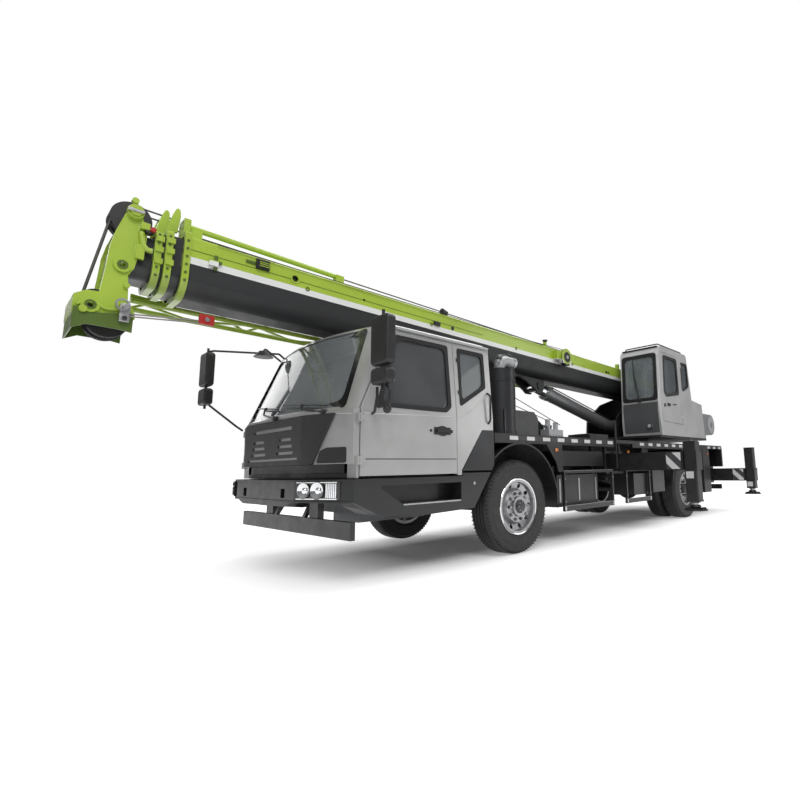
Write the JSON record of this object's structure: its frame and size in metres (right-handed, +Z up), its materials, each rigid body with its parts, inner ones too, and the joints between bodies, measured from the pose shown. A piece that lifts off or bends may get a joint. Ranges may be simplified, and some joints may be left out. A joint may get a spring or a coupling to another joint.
{
  "type": "two-axle telescopic truck crane",
  "caption": "Two-axle truck crane with a full-width silver cab, a slewing operator's cab, a lime green and black telescopic boom, outriggers spread and jacks raised.",
  "frame": {"origin": "on the ground, under the middle of the bounding box", "axes": "+X to the front of the carrier along the boom, +Y to its left, +Z up"},
  "size_m": [10.54, 4.87, 3.2255],
  "materials": {
    "chassis_black": "satin black paint",
    "engine_grey": "painted casting",
    "cab_silver": "metallic silver grey paint",
    "window_glass": "dark tinted glass",
    "interior_plastic": "dark trim",
    "bumper_plastic": "dark moulded plastic",
    "lamp_glass": "clear lamp lens",
    "equipment_grey": "dark paint",
    "turntable_black": "satin black paint",
    "turntable_grey": "grey painted casting",
    "winch_steel": "drum with wound rope",
    "boom_green": "lime green gloss paint with a black lower half",
    "sheave_black": "dark sheaves",
    "cylinder_grey": "grey paint",
    "chrome_rod": "chromed rod",
    "tyre": "tyre rubber",
    "rim_aluminium": "machined aluminium"
  },
  "bodies": {
    "chassis": {"chassis_frame": "chassis_black", "outrigger_boxes": "chassis_black", "deck": "chassis_black", "engine": "engine_grey", "leaf_springs": "chassis_black", "front_axle": "chassis_black", "rear_axle": "chassis_black", "cab_floor": "chassis_black", "cab_front_wall": "cab_silver", "cab_rear_wall": "cab_silver", "cab_sides": "cab_silver", "cab_roof": "cab_silver", "cab_glass": "window_glass", "cab_interior": "interior_plastic", "front_bumper": "bumper_plastic", "grille": "bumper_plastic", "mirror_right": "bumper_plastic", "lamps": "lamp_glass", "air_intake": "chassis_black", "side_equipment": "equipment_grey"},
    "turntable": {"turntable": "turntable_black", "counterweight": "turntable_grey", "winches": "winch_steel", "operator_cab": "cab_silver", "operator_glass": "window_glass", "operator_seat": "interior_plastic"},
    "operator_door": {"operator_door": "cab_silver", "operator_door_glass": "window_glass"},
    "boom_base": {"boom_base": "boom_green", "stowed_jib": "boom_green"},
    "boom_section_2": {"boom_section_2": "boom_green"},
    "boom_section_3": {"boom_section_3": "boom_green"},
    "boom_head": {"boom_head": "boom_green", "sheaves": "sheave_black"},
    "luff_barrel": {"luff_cylinder_barrel": "cylinder_grey"},
    "luff_rod": {"luff_cylinder_rod": "chrome_rod"},
    "wheel_front_left": {"tyre_front_left": "tyre", "rim_front_left": "rim_aluminium"},
    "wheel_rear_left": {"tyre_rear_left": "tyre", "rim_rear_left": "rim_aluminium"},
    "knuckle_left": {"steering_knuckle_left": "chassis_black"},
    "cab_door_left": {"cab_door_left": "cab_silver", "cab_door_glass_left": "window_glass", "mirror_left": "bumper_plastic"},
    "outrigger_front_left": {"outrigger_beam_front_left": "chassis_black"},
    "jack_front_left": {"outrigger_jack_front_left": "chrome_rod"},
    "outrigger_rear_left": {"outrigger_beam_rear_left": "chassis_black"},
    "jack_rear_left": {"outrigger_jack_rear_left": "chrome_rod"},
    "wheel_front_right": {"tyre_front_right": "tyre", "rim_front_right": "rim_aluminium"},
    "wheel_rear_right": {"tyre_rear_right": "tyre", "rim_rear_right": "rim_aluminium"},
    "knuckle_right": {"steering_knuckle_right": "chassis_black"},
    "cab_door_right": {"cab_door_right": "cab_silver", "cab_door_glass_right": "window_glass"},
    "outrigger_front_right": {"outrigger_beam_front_right": "chassis_black"},
    "jack_front_right": {"outrigger_jack_front_right": "chrome_rod"},
    "outrigger_rear_right": {"outrigger_beam_rear_right": "chassis_black"},
    "jack_rear_right": {"outrigger_jack_rear_right": "chrome_rod"}
  },
  "joints": [
    {"name": "steer_left", "type": "hinge", "parent": "chassis", "child": "knuckle_left", "pos_m": [1.43, 0.85, 0.52], "axis": [0, 0, 1], "range_deg": [-35, 35]},
    {"name": "spin_front_left", "type": "hinge", "parent": "knuckle_left", "child": "wheel_front_left", "pos_m": [1.43, 1.045, 0.52], "axis": [0, 1, 0], "continuous": true},
    {"name": "spin_rear_left", "type": "hinge", "parent": "chassis", "child": "wheel_rear_left", "pos_m": [-3.27, 1.055, 0.52], "axis": [0, 1, 0], "continuous": true},
    {"name": "open_door_left", "type": "hinge", "parent": "chassis", "child": "cab_door_left", "pos_m": [3.491, 1.243, 1.2], "axis": [0, 0, -1], "range_deg": [0, 65]},
    {"name": "extend_front_left", "type": "slide", "parent": "chassis", "child": "outrigger_front_left", "axis": [0, 1, 0], "range_m": [-1.145, 0]},
    {"name": "lower_jack_front_left", "type": "slide", "parent": "outrigger_front_left", "child": "jack_front_left", "axis": [0, 0, -1], "range_m": [0, 0.33]},
    {"name": "extend_rear_left", "type": "slide", "parent": "chassis", "child": "outrigger_rear_left", "axis": [0, 1, 0], "range_m": [-0.69, 0.55]},
    {"name": "lower_jack_rear_left", "type": "slide", "parent": "outrigger_rear_left", "child": "jack_rear_left", "axis": [0, 0, -1], "range_m": [0, 0.33]},
    {"name": "steer_right", "type": "hinge", "parent": "chassis", "child": "knuckle_right", "pos_m": [1.43, -0.85, 0.52], "axis": [0, 0, 1], "range_deg": [-35, 35]},
    {"name": "spin_front_right", "type": "hinge", "parent": "knuckle_right", "child": "wheel_front_right", "pos_m": [1.43, -1.045, 0.52], "axis": [0, 1, 0], "continuous": true},
    {"name": "spin_rear_right", "type": "hinge", "parent": "chassis", "child": "wheel_rear_right", "pos_m": [-3.27, -1.055, 0.52], "axis": [0, 1, 0], "continuous": true},
    {"name": "open_door_right", "type": "hinge", "parent": "chassis", "child": "cab_door_right", "pos_m": [3.491, -1.243, 1.2], "axis": [0, 0, 1], "range_deg": [0, 65]},
    {"name": "extend_front_right", "type": "slide", "parent": "chassis", "child": "outrigger_front_right", "axis": [0, -1, 0], "range_m": [-1.145, 0]},
    {"name": "lower_jack_front_right", "type": "slide", "parent": "outrigger_front_right", "child": "jack_front_right", "axis": [0, 0, -1], "range_m": [0, 0.33]},
    {"name": "extend_rear_right", "type": "slide", "parent": "chassis", "child": "outrigger_rear_right", "axis": [0, -1, 0], "range_m": [-0.69, 0.55]},
    {"name": "lower_jack_rear_right", "type": "slide", "parent": "outrigger_rear_right", "child": "jack_rear_right", "axis": [0, 0, -1], "range_m": [0, 0.33]},
    {"name": "slew", "type": "hinge", "parent": "chassis", "child": "turntable", "pos_m": [-2.92, 0, 1.41], "axis": [0, 0, 1], "continuous": true},
    {"name": "luff", "type": "hinge", "parent": "turntable", "child": "boom_base", "pos_m": [-4.33, 0, 2.54], "axis": [0, -1, 0], "range_deg": [0, 76]},
    {"name": "luff_cylinder_tilt", "type": "hinge", "parent": "turntable", "child": "luff_barrel", "pos_m": [-3, 0, 1.64], "axis": [0, -1, 0], "range_deg": [0, 78.28]},
    {"name": "luff_cylinder_stroke", "type": "slide", "parent": "luff_barrel", "child": "luff_rod", "axis": [0.9754, 0, 0.2205], "range_m": [0, 1.9747]},
    {"name": "telescope_2", "type": "slide", "parent": "boom_base", "child": "boom_section_2", "axis": [0.9998, 0, 0.0192], "range_m": [0, 6.6]},
    {"name": "telescope_3", "type": "slide", "parent": "boom_section_2", "child": "boom_section_3", "axis": [0.9998, 0, 0.0192], "range_m": [0, 6.6]},
    {"name": "telescope_4", "type": "slide", "parent": "boom_section_3", "child": "boom_head", "axis": [0.9998, 0, 0.0192], "range_m": [0, 6.6]},
    {"name": "open_operator_door", "type": "hinge", "parent": "turntable", "child": "operator_door", "pos_m": [-3.323, 1.198, 2.2], "axis": [0, 0, 1], "range_deg": [0, 80]}
  ],
  "couplings": [
    {"joint": "steer_right", "follows": "steer_left", "ratio": 1},
    {"joint": "luff_cylinder_tilt", "follows": "luff", "ratio": 1.0287},
    {"joint": "luff_cylinder_stroke", "follows": "luff", "m_per_rad": 1.4872},
    {"joint": "telescope_3", "follows": "telescope_2", "ratio": 1},
    {"joint": "telescope_4", "follows": "telescope_2", "ratio": 1}
  ]
}
